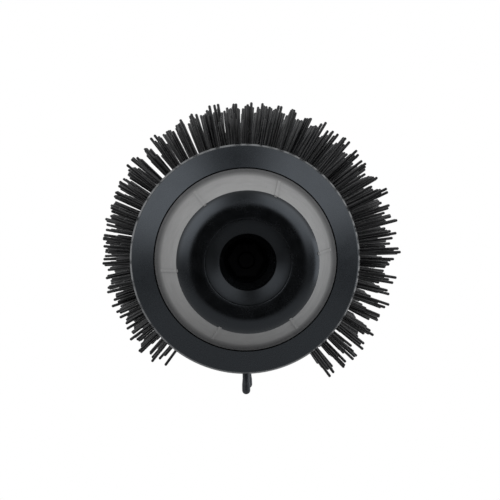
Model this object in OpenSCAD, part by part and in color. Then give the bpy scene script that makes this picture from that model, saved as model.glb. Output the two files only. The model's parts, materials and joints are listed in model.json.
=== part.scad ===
// Round thermal barrel brush: perforated sleeve over a core, bristle strips, a
// finger nose that spins on the tip cap, and a sectioning pin kept in the handle.
// The brush lies along Y: the nose points to -Y and the handle to +Y. The origin
// is on the axis, half way along the straight wall of the nose's bore.

/* [Tip cap and nose] */
// Outer diameter of the tip cap's flange
flange_d = 52; // [51:0.5:53]
// Tilt of the flange's conical front face
cone_tilt = 30; // [28:1:31]
// Length of the nose from its flared foot to its end face
nose_len = 19; // [18:0.5:20]
// Taper of the nose's side, half angle
nose_taper = 12.4; // [12:0.2:14]
// Radius of the bore in the nose
bore_r = 6.2; // [6:0.1:6.3]
// Depth of the rounded lip at the mouth of the bore
insert_depth = 3.4; // [3:0.1:3.6]
// Thickness of the soft sleeve round the nose
nose_sleeve_w = 0.9; // [0.8:0.1:1]
// Number of grip ribs along the nose
nose_ribs = 6; // [3:1:8]

/* [Barrel] */
// Outer diameter of the barrel sleeve
barrel_d = 46; // [46:0.2:46.6]
// Thickness of the sleeve's sheet
sleeve_wall = 0.8; // [0.7:0.1:0.8]
// Width of the slot between the sheet's rolled edges
seam_w = 6; // [6:0.5:7]

/* [Bristles] */
// Number of bristle strips round the core
strip_count = 13; // [13:1:13]
// Angle between neighbouring rows of tufts
row_step = 5.6; // [5.4:0.1:5.6]
// Number of rings of tufts along the barrel
ring_count = 18; // [16:1:18]
// Distance between neighbouring rings
ring_step = 5; // [4.8:0.1:5]
// Radius of one tuft
tuft_r = 0.85; // [0.7:0.05:0.9]
// Distance of the tuft ends from the axis
bristle_tip_r = 36.5; // [33:0.5:37]

/* [Guide pins] */
// Number of club-shaped pins in the seam strip
guide_pins = 6; // [4:1:6]
// Radius of a guide pin at its club end
guide_pin_r = 0.94; // [0.9:0.02:1]
// Distance of the guide pins' ends from the axis
guide_tip_r = 31.2; // [30:0.2:32]

/* [Handle] */
// Length of the handle between the collar and the end cap
handle_len = 95; // [93:1:97]
// Radius of the handle's neck
neck_r = 9.6; // [9.4:0.1:10]
// How much the handle's belly is thicker than its neck
belly = 2.9; // [2.5:0.1:3.2]
// Thickness of the soft grip
grip_wall = 1.6; // [1.4:0.1:1.8]

/* [Sectioning pin] */
// Radius of the sectioning pin
pin_r = 1.5; // [1.3:0.1:1.5]
// Length of the sectioning pin
pin_len = 90; // [86:1:90]

/* [Hidden] */
$fn = 96;
STRIPS = ["bristle_strip_01", "bristle_strip_02", "bristle_strip_03", "bristle_strip_04",
          "bristle_strip_05", "bristle_strip_06", "bristle_strip_07", "bristle_strip_08",
          "bristle_strip_09", "bristle_strip_10", "bristle_strip_11", "bristle_strip_12",
          "bristle_strip_13"];

black = [0.07, 0.075, 0.08];
slate = [0.11, 0.12, 0.13];
grey = [0.54, 0.54, 0.54];
coating = [0.24, 0.23, 0.23];
nylon = [0.05, 0.05, 0.05];
steel = [0.7, 0.7, 0.72];
brass = [0.75, 0.6, 0.3];

slack = 0.05;       // clearance of pieces that are pushed together
gap = 0.3;          // open joint between the nose's foot and the tip cap
fit = 0.02;         // clearance of pieces that are moulded or pressed together
seam = 0.12;        // chamfers beside the fine seam round the insert

// Nose
bore_half = 5;                                  // half the length of the bore's wall
face_y = -bore_half - insert_depth;             // plane of the nose's end face
flare_y = face_y + nose_len;                    // foot of the nose, on the cone's line
flare_r = 20.4;
flare_bend = 3;                                 // radius of the hollow at the foot
nose_bend = 4.6;                                // radius of the nose's front edge
edge_turn = 55;                                 // tilt of that edge where it meets the sleeve
foot_y = flare_y + 1.7;                         // rear edge of the nose's shell
insert_r = 9.4;
lead_bend = 6.8;                                // radius of the rounded lead-in to the bore
lead_from_r = 10.6;                             // and where it leaves the end face
relief_r = 6.9;                                 // the insert is wider than the bore behind its lip
nut_seat_r = 5;
web_y = bore_half + 5.3;                        // front of the web that runs on the bush
hub_end_y = web_y + 2.7;
web_rim_r = 8.6;
bush_r = 3.5;
rod_r = 2;
rib_w = 0.6;
rib_h = 0.22;
rib_root = 0.6;                                 // depth of a rib's root in the sleeve
rib_nub = 0.4;                                  // how far a rib reaches over the front edge
rib_lap = 0.25;                                 // and how far its notch runs on behind that edge
rib_turn = 7;                                   // turn of the first rib from +X

// Tip cap
cap_in_r = flare_r + gap;                       // recess that takes the nose's foot
cap_floor_y = foot_y + gap;
hub_floor_y = hub_end_y + 0.2;
flange_r = flange_d / 2;
rim_bend = 0.6;                                 // radius of the flange's front edge
rim_draft = 18;                                 // tilt of the bright wall behind that edge
cone_r = flange_r - 0.62;                       // outer edge of the conical face
cone_y = flare_y + (cone_r - flare_r) * tan(cone_tilt);
sleeve_y = cone_y + 3.3;                        // front end of the sleeve

// Barrel
barrel_r = barrel_d / 2;
sleeve_in_r = barrel_r - sleeve_wall;
ring_margin = 4.5;
sleeve_len = (ring_count - 1) * ring_step + 2 * ring_margin;
sleeve_end_y = sleeve_y + sleeve_len;
core_r = 19.9;
core_in_r = 18;
strip_in_r = core_r + 0.1;
strip_out_r = sleeve_in_r - 0.1;
spigot = 2;                                     // depth of the rim inside the sleeve
strip_y = sleeve_y + spigot + gap;
strip_len = sleeve_len - 2 * (spigot + gap);
plug_len = 8;                                   // depth of the plugs in the core tube
plug_in_r = 15.5;
rows_per_strip = 4;
strip_step = rows_per_strip * row_step;
first_row = 180 - (strip_count * strip_step - row_step) / 2;
hole_r = tuft_r + slack;
guide_pitch = 17;
guide_shank_r = guide_pin_r - 0.14;
guide_turn = 0.9;                               // turn of the first pin from straight down
guide_drift = 1.85;                             // how far the row then curves to one side
guide_club = 3.6;                               // length of a pin's thicker end

// Collar and handle
collar_r = 24.5;
collar_rim = 2.6;
collar_len = 21;
collar_y = sleeve_end_y;
collar_end_y = collar_y + collar_len;
collar_end_r = 10.6;
tenon_r = 7.5;
tenon_len = 8;
ring_w = 1.6;
handle_y = collar_end_y + ring_w;
handle_end_y = handle_y + handle_len;
grip_from = 0.07;                               // ends of the grip, as parts of the handle
grip_to = 0.93;
grip_steps = 60;
rod_y = bore_half + 0.6;
rod_end_y = collar_end_y + 1.5;
cavity_r = 4.5;
cavity_y = rod_end_y + 6;
cavity_end_y = handle_end_y - 13;

// Sectioning pin and handle end
cap_spigot_r = 7;
cap_spigot = 8;
cap_len = 5.6;
cap_r = 11.2;
cap_end_y = handle_end_y + cap_len;
knob_spigot_r = 4.2;
knob_bore_r = knob_spigot_r + slack;
knob_spigot_y = handle_end_y - 4;
knob_y = cap_end_y + 0.2;
knob_len = 7.8;
knob_r = 8.4;
pin_end_y = knob_y + 2;
pin_y = pin_end_y - pin_len;
pin_point = 12;
bush_len = 6;
o_ring_r = 0.7;
o_ring_y = handle_end_y + 1;

// Points along an arc, as [radius, y] pairs
function arc(centre, r, from, to, steps = 16) =
    [for (i = [0 : steps]) let (t = from + (to - from) * i / steps)
        centre + r * [cos(t), sin(t)]];

// Radius of the finished handle, t running from its neck (0) to its end (1)
function handle_r(t) = neck_r + belly * pow(sin(180 * t), 1.5) + 1.5 * pow(t, 8);
function handle_at(t) = handle_y + t * handle_len;
// The grip has thumb grooves near its front end
function grip_r(t) = handle_r(t)
    - (t > 0.1 && t < 0.3 ? 0.3 * pow(sin(180 * (t - 0.1) / 0.04), 2) : 0);
function grip_t(i) = grip_from + (grip_to - grip_from) * i / grip_steps;

// Nose side: the hollow at the foot, the tapered side and the rounded front edge
side_normal = [cos(nose_taper), -sin(nose_taper)];
cone_normal = [sin(cone_tilt), -cos(cone_tilt)];
flare_centre = [flare_r, flare_y] + flare_bend * cone_normal;
side_foot = flare_centre - flare_bend * side_normal;
side_len = (side_foot[1] - face_y - nose_bend * (1 - cos(edge_turn))) / cos(nose_taper);
side_top = side_foot - side_len * [sin(nose_taper), cos(nose_taper)];
front_centre = side_top - nose_bend * [sin(edge_turn), -cos(edge_turn)];

// Lead-in: its tilt at the bore's mouth and at the seam, and the seam's place along Y
mouth_turn = lead_tilt(bore_r + slack);
seam_turn = lead_tilt(insert_r);
seam_y = face_y + lead_bend * (1 - cos(seam_turn));
function lead_tilt(r) = asin((lead_from_r - r) / lead_bend);
function lead_in(from, to) = arc([lead_from_r, face_y + lead_bend], lead_bend, from - 90, to - 90);

// Turn at which the back of the sleeve runs straight again, behind the hollow
back_turn = acos((flare_r - nose_sleeve_w - flare_centre[0]) / (flare_bend + nose_sleeve_w));

// Solid turned about the brush's axis from an outline of [radius, y] points
module turned(outline) {
    rotate([-90, 0, 0]) rotate_extrude() polygon(outline);
}

// Cylinder on the brush's axis from y1 to y2
module rod(r, y1, y2) {
    translate([0, y1, 0]) rotate([-90, 0, 0]) cylinder(h = y2 - y1, r = r);
}

// Places its children at a turn round the axis, 0 being straight down, and lays
// their own +Z outwards
module spoke(turn, y = 0) {
    translate([0, y, 0]) rotate([0, 180 - turn, 0]) children();
}

// Part of a tube between two radii, width degrees wide, centred straight down
module shell_arc(r1, r2, width, y1, y2) {
    translate([0, y1, 0]) rotate([-90, 90 - width / 2, 0])
        rotate_extrude(angle = width) translate([r1, 0]) square([r2 - r1, y2 - y1]);
}

module nose_knob() {
    seat = nose_sleeve_w + fit;
    outline = concat(
        [[0, face_y]],
        arc(front_centre, nose_bend, -90, edge_turn - 90),
        [side_top - seat * side_normal],
        arc(flare_centre, flare_bend + seat, 180 - nose_taper, back_turn),
        [[flare_r - seat, foot_y], [web_rim_r, foot_y], [web_rim_r, hub_end_y], [0, hub_end_y]]);
    cavity = [[11, foot_y + 1], [17.4, foot_y + 1], [13.2, face_y + 3.2], [11, face_y + 2.6]];
    color(slate) difference() {
        union() {
            difference() {
                turned(outline);
                turned(cavity);
            }
            for (k = [0 : nose_ribs - 1])
                nose_rib_at(k) translate([10.6, face_y + 2, -rib_w])
                    cube([3.8, nose_len - 5, 2 * rib_w]);
        }
        for (k = [0 : nose_ribs - 1])
            nose_rib_at(k) nose_rib(rib_w / 2 + fit, rib_root + fit, rib_nub + fit, rib_lap);
        rod(insert_r + fit, face_y - 1, -bore_half);
        turned(concat([[0, face_y - 1], [lead_from_r, face_y - 1]],
                      lead_in(0, -seam_turn), [[0, seam_y]]));
        turned([[0, seam_y - seam], [insert_r + 2 * seam, seam_y - seam],
                [insert_r, seam_y + seam], [0, seam_y + seam]]);
        rod(bore_r, face_y - 1, bore_half);
        rod(nut_seat_r, 0, web_y);
        rod(bush_r + slack, 0, hub_end_y + 1);
    }
}

// Turns its children, drawn along +X, to one of the ribs round the nose
module nose_rib_at(k) {
    rotate([0, -rib_turn - 360 / nose_ribs * k, 0]) children();
}

// Box along the tapered side, from before its front end to a place down the side
module nose_rib(half_w, root, before, to) {
    translate([side_top[0], side_top[1], 0]) rotate([0, 0, -nose_taper])
        translate([-root, -before, -half_w]) cube([root + rib_h, before + to, 2 * half_w]);
}

module nose_sleeve() {
    color(grey) {
        turned(concat(
            [side_top - nose_sleeve_w * side_normal, side_top],
            arc(flare_centre, flare_bend, 180 - nose_taper, 90 + cone_tilt),
            [[flare_r, foot_y], [flare_r - nose_sleeve_w, foot_y]],
            arc(flare_centre, flare_bend + nose_sleeve_w, back_turn, 180 - nose_taper)));
        for (k = [0 : nose_ribs - 1])
            nose_rib_at(k) nose_rib(rib_w / 2, rib_root, rib_nub, side_len);
    }
}

module nose_insert() {
    mouth_y = face_y + lead_bend * (1 - cos(mouth_turn));
    color(black) turned(concat(
        [[insert_r, seam_y + seam], [insert_r, -bore_half], [relief_r, -bore_half],
         [relief_r, mouth_y + relief_r - bore_r - slack]],
        lead_in(-mouth_turn, -lead_tilt(insert_r - seam))));
}

module nose_bush() {
    color(brass) difference() {
        rod(bush_r, web_y - 0.1, hub_floor_y);
        rod(rod_r + slack, web_y - 1, hub_floor_y + 1);
    }
}

module tip_washer() {
    color(steel) difference() {
        rod(4.5, web_y - 1.1, web_y - 0.1);
        rod(rod_r + 0.15, web_y - 2, web_y + 1);
    }
}

module tip_nut() {
    nut_h = 3.2;
    nut_corner_r = 4.04;
    color(steel) difference() {
        translate([0, web_y - 1.1 - nut_h, 0]) rotate([-90, 0, 0])
            cylinder(h = nut_h, r = nut_corner_r, $fn = 6);
        rod(rod_r + 0.02, web_y - 6, web_y);
    }
}

module tip_cap() {
    rim_centre = [cone_r, cone_y] - rim_bend * cone_normal;
    rim_edge = rim_centre + rim_bend * [cos(rim_draft), -sin(rim_draft)];
    rim_wall_y = rim_edge[1] + (flange_r - rim_edge[0]) / tan(rim_draft);
    rim = concat(
        arc(rim_centre, rim_bend, cone_tilt - 90, -rim_draft),
        [[flange_r, rim_wall_y], [flange_r, sleeve_y - 0.4], [flange_r - 0.4, sleeve_y]]);
    outline = concat(
        [[0, hub_floor_y], [9.2, hub_floor_y], [9.2, cap_floor_y], [cap_in_r, cap_floor_y],
         [cap_in_r, flare_y + gap * tan(cone_tilt)]],
        rim,
        [[sleeve_in_r - slack, sleeve_y], [sleeve_in_r - slack, sleeve_y + spigot],
         [strip_in_r, sleeve_y + spigot], [strip_in_r, sleeve_y],
         [core_in_r - slack, sleeve_y], [core_in_r - slack, sleeve_y + plug_len],
         [plug_in_r, sleeve_y + plug_len], [plug_in_r, sleeve_y], [6, sleeve_y],
         [6, sleeve_y + 6], [0, sleeve_y + 6]]);
    color(slate) difference() {
        turned(outline);
        rod(rod_r + slack, 0, sleeve_y + 7);
    }
}

module tie_rod() {
    color(steel) turned([
        [0, rod_y], [rod_r - 0.4, rod_y], [rod_r, rod_y + 0.4], [rod_r, rod_end_y - 0.4],
        [rod_r - 0.4, rod_end_y], [0, rod_end_y]]);
}

// Turn of a row of tufts, counted from the first row
function row_turn(row) = first_row + row * row_step;
// Rings take turns between the even and the odd rows
function rows_in_ring(ring, rows) = [for (i = [0 : rows / 2 - 1]) 2 * i + ring % 2];
function ring_at(ring) = sleeve_y + ring_margin + ring * ring_step;
function guide_at(i) = sleeve_y + 5 + i * guide_pitch;

module barrel_sleeve() {
    color(coating) difference() {
        rod(barrel_r, sleeve_y, sleeve_end_y);
        rod(sleeve_in_r, sleeve_y - 1, sleeve_end_y + 1);
        translate([-seam_w / 2, sleeve_y - 1, -barrel_r - 1])
            cube([seam_w, sleeve_len + 2, sleeve_wall + 3]);
        for (ring = [0 : ring_count - 1])
            for (row = rows_in_ring(ring, strip_count * rows_per_strip))
                spoke(row_turn(row), ring_at(ring)) translate([0, 0, barrel_r - 2])
                    cylinder(h = 4, r = hole_r);
    }
}

module core_tube() {
    slots = 7;
    windows = 3;
    window_len = (sleeve_len - 2 * plug_len - 12) / windows;
    color(black) difference() {
        rod(core_r, sleeve_y, sleeve_end_y);
        rod(core_in_r, sleeve_y - 1, sleeve_end_y + 1);
        for (k = [0 : slots - 1])
            for (w = [0 : windows - 1])
                spoke(360 / slots * (k + 0.5)) translate([
                    -3, sleeve_y + plug_len + 3 + w * (window_len + 3), core_in_r - 2])
                    cube([6, window_len, 6]);
    }
}

// One strip of tufts: a curved backing bar under the sleeve, and its tufts
module bristle_strip(index) {
    first = index * rows_per_strip;
    middle = row_turn(first) + (rows_per_strip - 1) * row_step / 2;
    color(nylon) {
        rotate([0, -middle, 0])
            shell_arc(strip_in_r, strip_out_r, strip_step - 0.5, strip_y, strip_y + strip_len);
        for (ring = [0 : ring_count - 1])
            for (row = rows_in_ring(ring, rows_per_strip))
                spoke(row_turn(first + row), ring_at(ring))
                    translate([0, 0, strip_in_r + 1])
                        cylinder(h = bristle_tip_r - strip_in_r - 1, r = tuft_r);
    }
}

// The strip that closes the rolled sheet's seam and carries the guide pins
module seam_strip() {
    strip_w = seam_w - 0.2;
    color(black) {
        shell_arc(strip_in_r, strip_out_r, 26, strip_y, strip_y + strip_len);
        translate([-strip_w / 2, strip_y, -barrel_r]) cube([strip_w, strip_len, 2]);
        for (i = [0 : guide_pins - 1])
            spoke(guide_turn + guide_drift * sqrt(i), guide_at(i)) guide_pin();
    }
}

// Pin with a slightly thicker, rounded end, standing along +Z
module guide_pin() {
    round_z = guide_tip_r - guide_pin_r;
    rotate_extrude() polygon(concat(
        [[0, barrel_r - 1], [guide_shank_r, barrel_r - 1],
         [guide_shank_r, guide_tip_r - guide_club], [guide_pin_r, guide_tip_r - guide_club + 1.4]],
        arc([0, round_z], guide_pin_r, 0, 90, 8)));
}

module rear_collar() {
    shoulder = [for (i = [0 : 14]) let (t = i / 14)
        [collar_end_r + (collar_r - 0.6 - collar_end_r) * (1 + cos(180 * pow(t, 0.8))) / 2,
         collar_y + collar_rim + 0.5 + t * (collar_len - collar_rim - 0.5)]];
    outline = concat(
        [[0, collar_y + 3], [plug_in_r, collar_y + 3], [plug_in_r, collar_y - plug_len],
         [core_in_r - slack, collar_y - plug_len], [core_in_r - slack, collar_y],
         [strip_in_r, collar_y], [strip_in_r, collar_y - spigot],
         [sleeve_in_r - slack, collar_y - spigot], [sleeve_in_r - slack, collar_y],
         [collar_r - 0.4, collar_y], [collar_r, collar_y + 0.4],
         [collar_r, collar_y + collar_rim]],
        shoulder,
        [[0, collar_end_y]]);
    color(slate) difference() {
        turned(outline);
        rod(rod_r + slack, collar_y - 10, collar_end_y + 1);
        rod(tenon_r + slack, collar_end_y - tenon_len, collar_end_y + 1);
    }
}

module joint_ring() {
    color(steel) difference() {
        turned([[0, collar_end_y], [collar_end_r - 0.2, collar_end_y],
                [collar_end_r + 0.2, collar_end_y + 0.4],
                [collar_end_r + 0.2, handle_y - 0.4], [collar_end_r - 0.2, handle_y],
                [0, handle_y]]);
        rod(tenon_r + slack, collar_end_y - 1, handle_y + 1);
    }
}

module threaded_insert() {
    color(brass) difference() {
        rod(3.6, collar_end_y - tenon_len + 1, rod_end_y + 1);
        rod(rod_r + 0.02, collar_end_y - tenon_len, rod_end_y + 2);
    }
}

module handle_core() {
    steps = 10;
    neck = [for (i = [0 : steps]) let (t = grip_from * i / steps) [handle_r(t), handle_at(t)]];
    seat = [for (i = [0 : 30]) let (t = grip_from + (grip_to - grip_from) * i / 30)
        [handle_r(t) - grip_wall, handle_at(t)]];
    tail = [for (i = [0 : steps]) let (t = grip_to + (1 - grip_to) * i / steps)
        [handle_r(t), handle_at(t)]];
    color(black) difference() {
        turned(concat(
            [[0, collar_end_y - tenon_len + 0.1], [tenon_r, collar_end_y - tenon_len + 0.1],
             [tenon_r, handle_y]],
            neck, seat, tail, [[0, handle_end_y]]));
        rod(3.6, collar_end_y - tenon_len - 1, rod_end_y + 1);
        rod(rod_r + 0.1, rod_end_y, cavity_y);
        rod(cavity_r, cavity_y, cavity_end_y);
        rod(pin_r + 0.4, cavity_end_y - 1, handle_end_y);
        rod(cap_spigot_r + slack, handle_end_y - cap_spigot, handle_end_y + 1);
    }
}

// The grip follows the handle's line and ends flush with it
module soft_grip() {
    inner = [for (i = [30 : -1 : 0]) let (t = grip_from + (grip_to - grip_from) * i / 30)
        [handle_r(t) - grip_wall + 0.02, handle_at(t)]];
    outer = [for (i = [0 : grip_steps]) [grip_r(grip_t(i)), handle_at(grip_t(i))]];
    color([0.13, 0.13, 0.135]) turned(concat(outer, inner));
}

module pin_bush() {
    color(nylon) difference() {
        rod(cavity_r, cavity_end_y - bush_len, cavity_end_y);
        rod(pin_r + slack, cavity_end_y - bush_len - 1, cavity_end_y + 1);
    }
}

module end_cap() {
    color(slate) difference() {
        turned(concat(
            [[0, handle_end_y - cap_spigot], [cap_spigot_r, handle_end_y - cap_spigot],
             [cap_spigot_r, handle_end_y], [cap_r, handle_end_y], [cap_r, cap_end_y - 2.5]],
            arc([cap_r - 2.5, cap_end_y - 2.5], 2.5, 0, 90),
            [[0, cap_end_y]]));
        rod(pin_r + 0.4, handle_end_y - cap_spigot - 1, cap_end_y);
        rod(knob_bore_r, knob_spigot_y - 0.3, cap_end_y + 1);
    }
}

module sectioning_pin() {
    color(steel) turned([
        [0, pin_y], [0.35, pin_y + 0.1], [0.5, pin_y + 0.5], [pin_r, pin_y + pin_point],
        [pin_r, pin_end_y], [0, pin_end_y]]);
}

module pin_knob() {
    waist_r = 6.6;
    color(slate) difference() {
        turned(concat(
            [[0, knob_spigot_y], [knob_spigot_r, knob_spigot_y], [knob_spigot_r, knob_y],
             [waist_r, knob_y], [waist_r, knob_y + 2]],
            arc([knob_r - 2.4, knob_y + knob_len - 2.4], 2.4, -20, 80),
            [[0, knob_y + knob_len]]));
        rod(pin_r, knob_spigot_y - 1, pin_end_y);
        o_ring_groove() translate([-o_ring_r, -o_ring_r]) square([2 * o_ring_r + 1, 2 * o_ring_r]);
    }
}

// Turns a flat shape round the axis at the O-ring's place, its origin on the ring's own circle
module o_ring_groove() {
    rotate([-90, 0, 0]) translate([0, 0, o_ring_y]) rotate_extrude()
        translate([knob_spigot_r - o_ring_r, 0]) children();
}

module pin_o_ring() {
    color("dimgray") o_ring_groove() circle(r = o_ring_r - fit, $fn = 32);
}

nose_knob();
nose_sleeve();
nose_insert();
nose_bush();
tip_washer();
tip_nut();
tip_cap();
tie_rod();
barrel_sleeve();
core_tube();
seam_strip();
for (i = [0 : strip_count - 1])
    bristle_strip(i);
rear_collar();
joint_ring();
threaded_insert();
handle_core();
soft_grip();
pin_bush();
end_cap();
sectioning_pin();
pin_knob();
pin_o_ring();
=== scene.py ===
import json
import math
import random

import bpy
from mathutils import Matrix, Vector


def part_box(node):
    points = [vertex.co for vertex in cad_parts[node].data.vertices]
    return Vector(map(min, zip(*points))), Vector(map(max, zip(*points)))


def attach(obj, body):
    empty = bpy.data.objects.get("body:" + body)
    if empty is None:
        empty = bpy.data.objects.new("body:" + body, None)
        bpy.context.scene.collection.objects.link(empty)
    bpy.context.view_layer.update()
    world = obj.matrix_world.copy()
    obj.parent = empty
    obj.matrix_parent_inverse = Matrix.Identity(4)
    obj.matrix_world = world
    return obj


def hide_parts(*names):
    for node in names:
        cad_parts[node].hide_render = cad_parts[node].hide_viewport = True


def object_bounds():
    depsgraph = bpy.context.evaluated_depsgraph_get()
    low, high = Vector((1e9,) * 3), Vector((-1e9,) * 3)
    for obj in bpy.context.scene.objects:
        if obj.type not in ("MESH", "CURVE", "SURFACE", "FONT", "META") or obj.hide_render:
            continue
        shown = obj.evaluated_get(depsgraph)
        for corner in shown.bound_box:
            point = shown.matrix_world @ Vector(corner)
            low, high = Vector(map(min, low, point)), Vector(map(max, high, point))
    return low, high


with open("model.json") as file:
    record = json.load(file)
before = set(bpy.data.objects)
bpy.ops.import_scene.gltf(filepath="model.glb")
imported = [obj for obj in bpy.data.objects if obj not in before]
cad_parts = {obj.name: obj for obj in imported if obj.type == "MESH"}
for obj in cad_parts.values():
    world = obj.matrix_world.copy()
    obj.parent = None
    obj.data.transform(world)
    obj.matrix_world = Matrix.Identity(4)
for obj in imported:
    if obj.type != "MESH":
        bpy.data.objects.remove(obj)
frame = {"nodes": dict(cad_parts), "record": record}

CAD_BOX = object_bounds()
MM = 0.001

# Rows and rings of tufts, as on the CAD strips
STRIPS = [n for n in sorted(frame["nodes"]) if n.startswith("bristle_strip")]
ROWS_PER_STRIP = 4
ROW_STEP = 5.6
RINGS = 18
RING_STEP = 5 * MM
FIRST_RING = 2.2 * MM          # from the end of a strip's backing bar
FIRST_ROW = 180 - (len(STRIPS) * ROWS_PER_STRIP - 1) * ROW_STEP / 2
BAR_IN = 20 * MM
BAR_OUT = 22.1 * MM
BAR_GAP = 0.5                  # degrees between neighbouring bars
BAR_STEPS = 8                  # flats on a bar's curved faces

# Filaments
FIRST_SEED = 100
ROOT_R = 21.6 * MM             # they start inside their bar
FILAMENT_R = 0.32 * MM
FILAMENT_SIDES = 8
FILAMENT_STEPS = 4
FILAMENT_END = [(0.45, 0.72), (0.7, 0.3)]       # (height, radius) of its round end, in radii
FURTHEST_TIP = CAD_BOX[1].x - 0.35 * MM
TIP_R = 33.5 * MM              # reach of most filaments
UNEVEN = 0.35 * MM             # spread of the reach, from tuft to tuft and within one
SHORT_SHARE = 0.35             # share of the filaments that stand shorter
SHORT_LEAST = 0.5 * MM         # by this much at least
SHORT_MOST = 3.2 * MM          # and by this much at most
WORN = 2.1 * MM                # how much further they reach on the side that is worn least
LEAST_WORN_TURN = 130
LOST_SHARE = 0.4               # share of the filaments lost on the side that is worn most
COUNTS = (2, 3, 3)             # filaments in a tuft, drawn from these
TUFT_RING_R = 0.55 * MM        # they stand on this circle in their tuft
TUFT_TWIST = 14                # spread of that circle's turn, in degrees
LEAN_ASIDE = 0.01              # spread of a tuft's lean, as a slope
LEAN_ALONG = 0.03
SPLAY = 0.4                    # how much wider the circle may be at the tips
DRIFT_ASIDE = 0.1 * MM         # spread of the tips' places
DRIFT_ALONG = 0.35 * MM
BOW_ASIDE = 0.03 * MM          # spread of the filaments' bow
BOW_ALONG = 0.08 * MM

# Camera, measured from the middle of the flange's front edge
RIM_AHEAD = 3.3 * MM           # how far that edge is ahead of the sleeve
CAMERA_DISTANCE = 0.6
CAMERA_RIGHT = -17.5 * MM
CAMERA_UP = 19.5 * MM
AIM_RIGHT = 1.08 * MM
AIM_UP = 2.07 * MM
LENS = 191.9
SENSOR = 36

# Light of the surroundings. Each list holds stops of (place, light).
BACKDROP = [(0.0, 0.0), (0.03, 0.01), (0.07, 0.2), (0.25, 0.3), (0.6, 0.4), (0.8, 1.0)]  # front to back
FALL_OFF = [(0.1, 0.75), (0.6, 1.0)]                                                     # down to up
PANEL_AZIMUTHS = (45, 143)     # degrees from +X, seen from the camera
PANEL_WIDTH = [(0.7, 0.0), (0.8, 0.15), (0.92, 0.85), (0.97, 1.0)]                       # edge to middle
PANEL_REACH = [(0.015, 0.0), (0.06, 0.9), (0.1, 1.0), (0.42, 1.0), (0.62, 0.0)]          # front to back
PANEL_RADIANCE = 1.9
GLOW_COLOUR = (0.98, 0.99, 1.0, 1)
SOFTBOX_DISTANCE = 1.0
SOFTBOX_SIZE = 0.62
SOFTBOX_COLOUR = (0.9, 0.95, 1.0)

FLOOR_Z = -0.2
FLOOR_R = 0.9
FLOOR_SIDES = 96
FLOOR_GREY = (0.48, 0.48, 0.48)

scene = bpy.context.scene


# ---------------------------------------------------------------- materials

class Graph:
    """A node tree, with short calls for the nodes that repeat."""

    def __init__(self, tree):
        self.tree = tree

    def add(self, kind, **settings):
        node = self.tree.nodes.new(kind)
        for key, value in settings.items():
            setattr(node, key, value)
        return node

    def link(self, source, target):
        self.tree.links.new(source, target)

    def feed(self, socket, value):
        """Links a socket to another one, or gives it a colour or a number."""
        if isinstance(value, bpy.types.NodeSocket):
            self.link(value, socket)
        elif isinstance(value, tuple):
            socket.default_value = (*value, 1)
        else:
            socket.default_value = value

    def ramp(self, source, stops):
        """Turns a value into another by stops of (position, grey or colour)."""
        node = self.add("ShaderNodeValToRGB")
        ramp = node.color_ramp
        while len(ramp.elements) < len(stops):
            ramp.elements.new(0.5)
        for element, (position, value) in zip(ramp.elements, stops):
            element.position = position
            colour = value if isinstance(value, tuple) else (value,) * 3
            element.color = (*colour, 1)
        self.link(source, node.inputs["Fac"])
        return node.outputs["Color"]

    def calculate(self, operation, *values):
        node = self.add("ShaderNodeMath", operation=operation)
        for socket, value in zip(node.inputs, values):
            self.feed(socket, value)
        return node.outputs["Value"]

    def times(self, first, second):
        return self.calculate("MULTIPLY", first, second)

    def plus(self, first, second):
        return self.calculate("ADD", first, second)


class Nodes(Graph):
    """A material's node tree."""

    def __init__(self, name):
        self.material = bpy.data.materials.new(name)
        self.material.use_nodes = True
        super().__init__(self.material.node_tree)
        self.shader = self.tree.nodes["Principled BSDF"]
        self.place = self.add("ShaderNodeTexCoord").outputs["Object"]

    def stretched(self, scale):
        """Object coordinates, scaled unevenly."""
        node = self.add("ShaderNodeMapping")
        node.inputs["Scale"].default_value = scale
        self.link(self.place, node.inputs["Vector"])
        return node.outputs["Vector"]

    def noise(self, size, detail=2.0, place=None):
        """Noise whose features are about size metres across."""
        node = self.add("ShaderNodeTexNoise")
        node.inputs["Scale"].default_value = 1 / size
        node.inputs["Detail"].default_value = detail
        self.link(place or self.place, node.inputs["Vector"])
        return node.outputs["Fac"]

    def specks(self, size, share):
        """Dots about size metres across; share is how much of each cell a dot takes."""
        node = self.add("ShaderNodeTexVoronoi")
        node.inputs["Scale"].default_value = 1 / size
        self.link(self.place, node.inputs["Vector"])
        return self.ramp(node.outputs["Distance"], [(share * 0.7, 1.0), (share, 0.0)])

    def blend(self, factor, first, second):
        """Mixes two colours or sockets by a factor."""
        node = self.add("ShaderNodeMix", data_type="RGBA")
        factor_in, first_in, second_in = node.inputs[0], node.inputs[6], node.inputs[7]
        self.link(factor, factor_in)
        self.feed(first_in, first)
        self.feed(second_in, second)
        return node.outputs[2]

    def along(self, length):
        """The place along the brush, as a share of length."""
        split = self.add("ShaderNodeSeparateXYZ")
        self.link(self.place, split.inputs[0])
        return self.times(split.outputs["Y"], 1 / length)

    def bump(self, height, depth):
        node = self.add("ShaderNodeBump")
        node.inputs["Strength"].default_value = 1
        node.inputs["Distance"].default_value = depth
        self.link(height, node.inputs["Height"])
        self.link(node.outputs["Normal"], self.shader.inputs["Normal"])

    def set(self, **values):
        """Sets the shader's inputs, named with _ for a space."""
        for key, value in values.items():
            self.feed(self.shader.inputs[key.replace("_", " ")], value)


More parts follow.
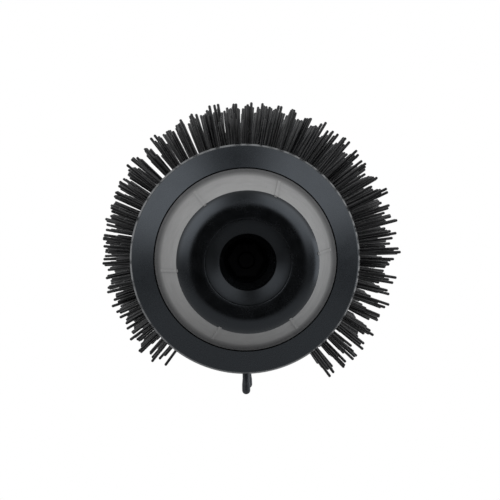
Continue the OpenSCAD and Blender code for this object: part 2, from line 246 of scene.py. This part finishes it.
def moulded_plastic(name, colour, rough, dust=0.02, ior=1.5):
    """Satin moulded plastic: spark-eroded grain, faint flow marks and a little dust."""
    n = Nodes(name)
    mottle = 0.12
    dark = tuple(c * (1 - mottle) for c in colour)
    light = tuple(c * (1 + mottle) for c in colour)
    base = n.ramp(n.noise(9 * MM, 3), [(0.3, dark), (0.7, light)])
    patch = n.ramp(n.noise(5 * MM, 2), [(0.35, 0.15), (0.7, 1.0)])
    dots = n.times(n.specks(0.7 * MM, 0.13), patch)
    base = n.blend(n.times(dots, dust * 10), base, tuple(c * 2 + 0.03 for c in colour))
    shine = n.ramp(n.plus(n.times(n.noise(3 * MM, 3), 0.6), n.times(n.noise(0.4 * MM), 0.4)),
                   [(0.3, rough - 0.05), (0.7, rough + 0.06)])
    n.set(Base_Color=base, Roughness=shine, IOR=ior, Specular_Tint=(0.82, 0.9, 1.0))
    n.bump(n.noise(0.12 * MM, 2), 0.004 * MM)
    return n.material


def grey_skin():
    """Dull soft-touch skin: neutral grey, with fine dark pits, lint and rubbed patches, and painted shade
    that darkens it towards its foot.
    """
    n = Nodes("nose_skin")
    base = n.ramp(n.noise(4 * MM, 4), [(0.3, (0.21, 0.208, 0.206)), (0.7, (0.24, 0.237, 0.235))])
    # Painted shade: the skin turns nearly black towards its foot, standing in for the shade in the hollow
    # there.
    painted_foot_shade = n.ramp(n.along(12 * MM), [(0.66, 0.0), (0.76, 0.35), (0.85, 0.93)])
    base = n.blend(painted_foot_shade, base, (0.012, 0.012, 0.013))
    base = n.blend(n.times(n.noise(0.25 * MM, 2), 0.35), base, (0.2, 0.2, 0.2))
    sparse = n.ramp(n.noise(2.5 * MM, 2), [(0.42, 0.0), (0.62, 1.0)])
    pits = n.times(n.specks(0.55 * MM, 0.2), sparse)
    base = n.blend(n.times(pits, 0.75), base, (0.08, 0.08, 0.082))
    n.set(Base_Color=base, IOR=1.45, Roughness=n.ramp(n.noise(3 * MM, 3), [(0.3, 0.62), (0.7, 0.78)]))
    n.bump(n.plus(n.noise(0.18 * MM, 2), n.times(pits, -0.8)), 0.012 * MM)
    return n.material


def ceramic_coating():
    """Dark baked coating with fine pearl specks over faint rolling marks."""
    n = Nodes("ceramic_coating")
    base = n.ramp(n.noise(6 * MM, 4), [(0.3, (0.05, 0.048, 0.048)), (0.7, (0.075, 0.072, 0.07))])
    pearl = n.times(n.specks(0.35 * MM, 0.22), n.ramp(n.noise(0.8 * MM), [(0.45, 0.0), (0.65, 0.8)]))
    base = n.blend(pearl, base, (0.28, 0.26, 0.25))
    marks = n.noise(0.5 * MM, 3, n.stretched((1, 0.04, 1)))
    n.set(Base_Color=base, Metallic=0.55,
          Roughness=n.ramp(n.plus(n.times(marks, 0.5), n.times(n.noise(1.5 * MM, 3), 0.5)),
                           [(0.35, 0.3), (0.7, 0.46)]))
    n.bump(n.plus(n.times(marks, 0.4), n.noise(0.15 * MM)), 0.006 * MM)
    return n.material


def nylon():
    """Drawn black nylon with a soft shine, and painted light that makes it lighter towards the handle."""
    n = Nodes("bristle_nylon")
    shade = n.ramp(n.noise(1.1 * MM, 2), [(0.35, (0.002, 0.002, 0.0025)), (0.7, (0.005, 0.005, 0.006))])
    # Painted light: the filaments grow lighter towards the handle, standing in for the back-lit sheen of
    # the farther tufts.
    painted_far_sheen = n.ramp(n.along(100 * MM), [(0.3, 0.0), (0.7, 1.0)])
    n.set(Base_Color=n.blend(painted_far_sheen, shade, (0.022, 0.022, 0.023)), IOR=1.36,
          Roughness=n.ramp(n.noise(1.5 * MM, 2), [(0.3, 0.26), (0.7, 0.34)]))
    n.bump(n.noise(0.3 * MM), 0.002 * MM)
    return n.material


def soft_rubber():
    """Soft-touch rubber: dull, finely grained, with lint and handling polish."""
    n = Nodes("grip_rubber")
    base = n.ramp(n.noise(12 * MM, 4), [(0.3, (0.022, 0.022, 0.024)), (0.7, (0.036, 0.036, 0.038))])
    lint = n.times(n.specks(1.1 * MM, 0.09), n.ramp(n.noise(4 * MM), [(0.5, 0.0), (0.7, 0.7)]))
    base = n.blend(lint, base, (0.13, 0.13, 0.13))
    n.set(Base_Color=base, IOR=1.48,
          Roughness=n.ramp(n.noise(7 * MM, 4), [(0.3, 0.56), (0.75, 0.76)]))
    n.bump(n.plus(n.noise(0.22 * MM, 3), n.times(n.noise(1.2 * MM), 0.6)), 0.02 * MM)
    return n.material


def metal(name, colour, rough):
    """Turned or drawn metal: fine marks that run round the piece, and dull spots."""
    n = Nodes(name)
    marks = n.noise(0.25 * MM, 4, n.stretched((0.03, 1, 0.03)))
    cloud = n.noise(5 * MM, 3)
    base = n.ramp(cloud, [(0.3, tuple(c * 0.86 for c in colour)), (0.7, colour)])
    n.set(Base_Color=base, Metallic=1.0,
          Roughness=n.ramp(n.plus(n.times(marks, 0.6), n.times(cloud, 0.4)),
                           [(0.3, rough - 0.06), (0.7, rough + 0.1)]))
    n.bump(marks, 0.006 * MM)
    return n.material


def natural_nylon():
    """Uncoloured nylon, a little cloudy."""
    n = Nodes("bush_nylon")
    n.set(Base_Color=n.ramp(n.noise(2 * MM, 3), [(0.3, (0.5, 0.47, 0.4)), (0.7, (0.62, 0.6, 0.54))]),
          Roughness=n.ramp(n.noise(0.6 * MM, 2), [(0.3, 0.4), (0.7, 0.55)]))
    n.bump(n.noise(0.2 * MM), 0.005 * MM)
    return n.material


def make_materials():
    return {
        "nose_satin": moulded_plastic("nose_satin", (0.0012, 0.0013, 0.0014), 0.24, dust=0.01),
        "nose_skin": grey_skin(),
        "insert_black": moulded_plastic("insert_black", (0.002, 0.0022, 0.0023), 0.3, dust=0.01, ior=1.32),
        "cap_plastic": moulded_plastic("cap_plastic", (0.004, 0.0048, 0.0058), 0.27),
        "ceramic_coating": ceramic_coating(),
        "core_plastic": moulded_plastic("core_plastic", (0.016, 0.016, 0.017), 0.42),
        "seam_plastic": moulded_plastic("seam_plastic", (0.015, 0.015, 0.016), 0.4),
        "bristle_nylon": nylon(),
        "grip_rubber": soft_rubber(),
        "plain_steel": metal("plain_steel", (0.62, 0.62, 0.63), 0.26),
        # Painted shade: the steel deep in the bore is nearly black, standing in for the shade inside that
        # bore.
        "black_steel": metal("black_steel", (0.012, 0.012, 0.013), 0.5),
        "ring_metal": metal("ring_metal", (0.3, 0.3, 0.31), 0.3),
        "brass": metal("brass", (0.72, 0.55, 0.27), 0.27),
        "bush_nylon": natural_nylon(),
        "o_ring_rubber": moulded_plastic("o_ring_rubber", (0.014, 0.014, 0.014), 0.55),
    }


def dress_frame(materials):
    """Gives each CAD node the material of its slot."""
    for part in frame["record"]["subparts"]:
        mesh = frame["nodes"][part["node"]].data
        mesh.materials.clear()
        mesh.materials.append(materials[part["material_slot"]])


# ---------------------------------------------------------------- bristles

def outward(turn):
    """The direction away from the axis at a turn in degrees, 0 being straight down."""
    return Vector((math.sin(math.radians(turn)), 0, -math.cos(math.radians(turn))))


def around(turn):
    """The direction of growing turn."""
    return Vector((math.cos(math.radians(turn)), 0, math.sin(math.radians(turn))))


ALONG = Vector((0, 1, 0))


class Skin:
    """Vertices and faces of one mesh."""

    def __init__(self):
        self.verts = []
        self.faces = []

    def hoop(self, centre, u, v, radius, sides):
        """Adds a ring of vertices round centre and gives its first index."""
        first = len(self.verts)
        for i in range(sides):
            a = 2 * math.pi * i / sides
            self.verts.append(centre + radius * (math.cos(a) * u + math.sin(a) * v))
        return first

    def join(self, a, b, sides):
        for i in range(sides):
            j = (i + 1) % sides
            self.faces.append((a + i, a + j, b + j, b + i))

    def cap(self, first, sides, flip=False):
        ring = [first + i for i in range(sides)]
        self.faces.append(tuple(reversed(ring)) if flip else tuple(ring))

    def mesh(self, name):
        mesh = bpy.data.meshes.new(name)
        mesh.from_pydata(self.verts, [], self.faces)
        mesh.validate()
        mesh.update()
        return mesh


def filament(skin, root, tip, bow):
    """A slightly bowed round filament with a rounded end."""
    run = tip - root
    axis = run / run.length
    u = axis.orthogonal().normalized()
    v = axis.cross(u)
    hoops = []
    for i in range(FILAMENT_STEPS + 1):
        t = i / FILAMENT_STEPS
        centre = root + run * t + bow * math.sin(math.pi * t)
        hoops.append(skin.hoop(centre, u, v, FILAMENT_R, FILAMENT_SIDES))
    for height, radius in FILAMENT_END:
        centre = tip + axis * FILAMENT_R * height
        hoops.append(skin.hoop(centre, u, v, FILAMENT_R * radius, FILAMENT_SIDES))
    for a, b in zip(hoops, hoops[1:]):
        skin.join(a, b, FILAMENT_SIDES)
    skin.cap(hoops[-1], FILAMENT_SIDES)
    skin.cap(hoops[0], FILAMENT_SIDES, flip=True)


def tuft(skin, turn, y, start, rng):
    """Two or three filaments that stand in one hole, the first at start degrees round it."""
    out, side = outward(turn), around(turn)
    lean = side * rng.gauss(0, LEAN_ASIDE) + ALONG * rng.gauss(0, LEAN_ALONG)
    start += rng.gauss(0, TUFT_TWIST)
    # From -1 on the side that is worn least to 1 on the side that is worn most
    wear = -math.cos(math.radians(turn - LEAST_WORN_TURN))
    reach = TIP_R - WORN * wear + rng.gauss(0, UNEVEN)
    count = rng.choice(COUNTS)
    for k in range(count):
        if rng.random() < LOST_SHARE * wear:
            continue
        a = math.radians(start + 360 / count * k)
        spot = (side * math.cos(a) + ALONG * math.sin(a)) * TUFT_RING_R
        root = out * ROOT_R + ALONG * y + spot
        splay = spot * rng.uniform(0, SPLAY) + side * rng.gauss(0, DRIFT_ASIDE)
        drift = ALONG * rng.gauss(0, DRIFT_ALONG)
        length = reach + rng.gauss(0, UNEVEN)
        if rng.random() < SHORT_SHARE:
            length -= rng.uniform(SHORT_LEAST, SHORT_MOST)
        tip = (out + lean).normalized() * length + ALONG * y + spot + splay + drift
        from_axis = math.hypot(tip.x, tip.z)
        if from_axis > FURTHEST_TIP:
            tip -= out * (from_axis - FURTHEST_TIP)
        bow = side * rng.gauss(0, BOW_ASIDE) + ALONG * rng.gauss(0, BOW_ALONG)
        filament(skin, root, tip, bow)


def backing_bar(skin, first_turn, y0, y1):
    """The curved bar under the sleeve that holds a strip's tufts."""
    half = (ROWS_PER_STRIP * ROW_STEP - BAR_GAP) / 2
    middle = first_turn + (ROWS_PER_STRIP - 1) * ROW_STEP / 2
    turns = [middle - half + 2 * half * i / BAR_STEPS for i in range(BAR_STEPS + 1)]
    outline = [outward(turn) * BAR_IN for turn in turns]
    outline += [outward(turn) * BAR_OUT for turn in reversed(turns)]
    sides = len(outline)
    a = len(skin.verts)
    b = a + sides
    skin.verts += [point + ALONG * y for y in (y0, y1) for point in outline]
    skin.join(a, b, sides)
    for i in range(BAR_STEPS):
        j = sides - 1 - i
        skin.faces.append((a + i, a + i + 1, a + j - 1, a + j))
        skin.faces.append((b + i + 1, b + i, b + j, b + j - 1))


def bristle_strip(index, node, material):
    """A strip's bar with its tufts of single filaments, in place of the CAD strip."""
    low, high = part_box(node)
    rng = random.Random(FIRST_SEED + index)
    skin = Skin()
    first_turn = FIRST_ROW + index * ROWS_PER_STRIP * ROW_STEP
    backing_bar(skin, first_turn, low.y, high.y)
    starts = [rng.uniform(0, 120) for _ in range(ROWS_PER_STRIP)]
    for ring in range(RINGS):
        y = low.y + FIRST_RING + ring * RING_STEP
        for row in range(ring % 2, ROWS_PER_STRIP, 2):
            tuft(skin, first_turn + row * ROW_STEP, y, starts[row], rng)
    mesh = skin.mesh(node + "_bristles")
    mesh.materials.append(material)
    mesh.polygons.foreach_set("use_smooth", [True] * len(mesh.polygons))
    piece = bpy.data.objects.new(node + "_bristles", mesh)
    scene.collection.objects.link(piece)
    mesh.set_sharp_from_angle(angle=math.radians(50))
    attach(piece, "brush")
    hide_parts(node)


# ---------------------------------------------------------------- stage

def add_camera():
    sleeve_low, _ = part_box("barrel_sleeve")
    rim = Vector((0, sleeve_low.y - RIM_AHEAD, 0))
    place = rim + Vector((CAMERA_RIGHT, -CAMERA_DISTANCE, CAMERA_UP))
    aim = rim + Vector((AIM_RIGHT, 0, AIM_UP))
    data = bpy.data.cameras.new("camera")
    data.lens = LENS
    data.sensor_width = SENSOR
    data.clip_start = 0.01
    data.clip_end = 20
    camera = bpy.data.objects.new("camera", data)
    scene.collection.objects.link(camera)
    camera.location = place
    camera.rotation_mode = "QUATERNION"
    camera.rotation_quaternion = (aim - place).to_track_quat("-Z", "Y")
    scene.camera = camera


def add_softbox(name, azimuth, off_axis, radiance):
    """A square light, off_axis degrees from the nose's direction, turned by azimuth from +X."""
    a, b = math.radians(azimuth), math.radians(off_axis)
    away = Vector((math.cos(a) * math.sin(b), -math.cos(b), math.sin(a) * math.sin(b)))
    data = bpy.data.lights.new(name, "AREA")
    data.shape = "SQUARE"
    data.size = SOFTBOX_SIZE
    data.energy = radiance * math.pi * SOFTBOX_SIZE ** 2
    data.color = SOFTBOX_COLOUR
    light = bpy.data.objects.new(name, data)
    scene.collection.objects.link(light)
    light.location = away * SOFTBOX_DISTANCE
    light.rotation_mode = "QUATERNION"
    light.rotation_quaternion = (-away).to_track_quat("-Z", "Y")
    light.visible_camera = False


def add_world():
    """White to the camera. For the light it gives, pale behind the brush and dim before it,
    with two tall soft panels to the upper left and the upper right of the camera."""
    world = bpy.data.worlds.new("studio")
    scene.world = world
    world.use_nodes = True
    n = Graph(world.node_tree)
    n.tree.nodes.clear()
    direction = n.add("ShaderNodeTexCoord").outputs["Generated"]
    split = n.add("ShaderNodeSeparateXYZ")
    n.link(direction, split.inputs[0])
    # 0 towards the camera, 1 away from it, and 0 down, 1 up
    depth = n.calculate("MULTIPLY_ADD", split.outputs["Y"], 0.5, 0.5)
    height = n.calculate("MULTIPLY_ADD", split.outputs["Z"], 0.5, 0.5)
    light = n.times(n.ramp(depth, BACKDROP), n.ramp(height, FALL_OFF))

    sideways = n.add("ShaderNodeVectorMath", operation="MULTIPLY")
    n.link(direction, sideways.inputs[0])
    sideways.inputs[1].default_value = (1, 0, 1)
    unit = n.add("ShaderNodeVectorMath", operation="NORMALIZE")
    n.link(sideways.outputs[0], unit.inputs[0])
    reach = n.ramp(depth, PANEL_REACH)
    for azimuth in PANEL_AZIMUTHS:
        facing = n.add("ShaderNodeVectorMath", operation="DOT_PRODUCT")
        n.link(unit.outputs[0], facing.inputs[0])
        a = math.radians(azimuth)
        facing.inputs[1].default_value = (math.cos(a), 0, math.sin(a))
        panel = n.times(n.ramp(facing.outputs["Value"], PANEL_WIDTH), reach)
        light = n.plus(light, n.times(panel, PANEL_RADIANCE))

    glow = n.add("ShaderNodeBackground")
    n.link(light, glow.inputs["Strength"])
    glow.inputs["Color"].default_value = GLOW_COLOUR
    seen = n.add("ShaderNodeBackground")
    seen.inputs["Color"].default_value = (1, 1, 1, 1)
    path = n.add("ShaderNodeLightPath")
    mix = n.add("ShaderNodeMixShader")
    n.link(path.outputs["Is Camera Ray"], mix.inputs[0])
    n.link(glow.outputs[0], mix.inputs[1])
    n.link(seen.outputs[0], mix.inputs[2])
    n.link(mix.outputs[0], n.add("ShaderNodeOutputWorld").inputs["Surface"])


def add_floor():
    """A pale round floor that fades out at its edge."""
    skin = Skin()
    centre = Vector((0, CAD_BOX[1].y / 2, FLOOR_Z))
    first = skin.hoop(centre, Vector((1, 0, 0)), ALONG, FLOOR_R, FLOOR_SIDES)
    skin.cap(first, FLOOR_SIDES)
    floor = bpy.data.objects.new("floor", skin.mesh("floor"))
    scene.collection.objects.link(floor)
    n = Nodes("pale_floor")
    n.set(Base_Color=FLOOR_GREY, Roughness=0.7)
    spread = n.add("ShaderNodeVectorMath", operation="DISTANCE")
    n.link(n.place, spread.inputs[0])
    spread.inputs[1].default_value = centre
    n.set(Alpha=n.ramp(spread.outputs["Value"], [(FLOOR_R * 0.45, 1.0), (FLOOR_R * 0.98, 0.0)]))
    floor.data.materials.append(n.material)


# ---------------------------------------------------------------- make

add_camera()
materials = make_materials()
dress_frame(materials)
for index, node in enumerate(STRIPS):
    bristle_strip(index, node, materials["bristle_nylon"])
add_world()
add_softbox("softbox_right", 0, 95, 1.4)
add_softbox("softbox_left", 137, 57, 0.2)
add_floor()
scene.view_settings.view_transform = "Standard"
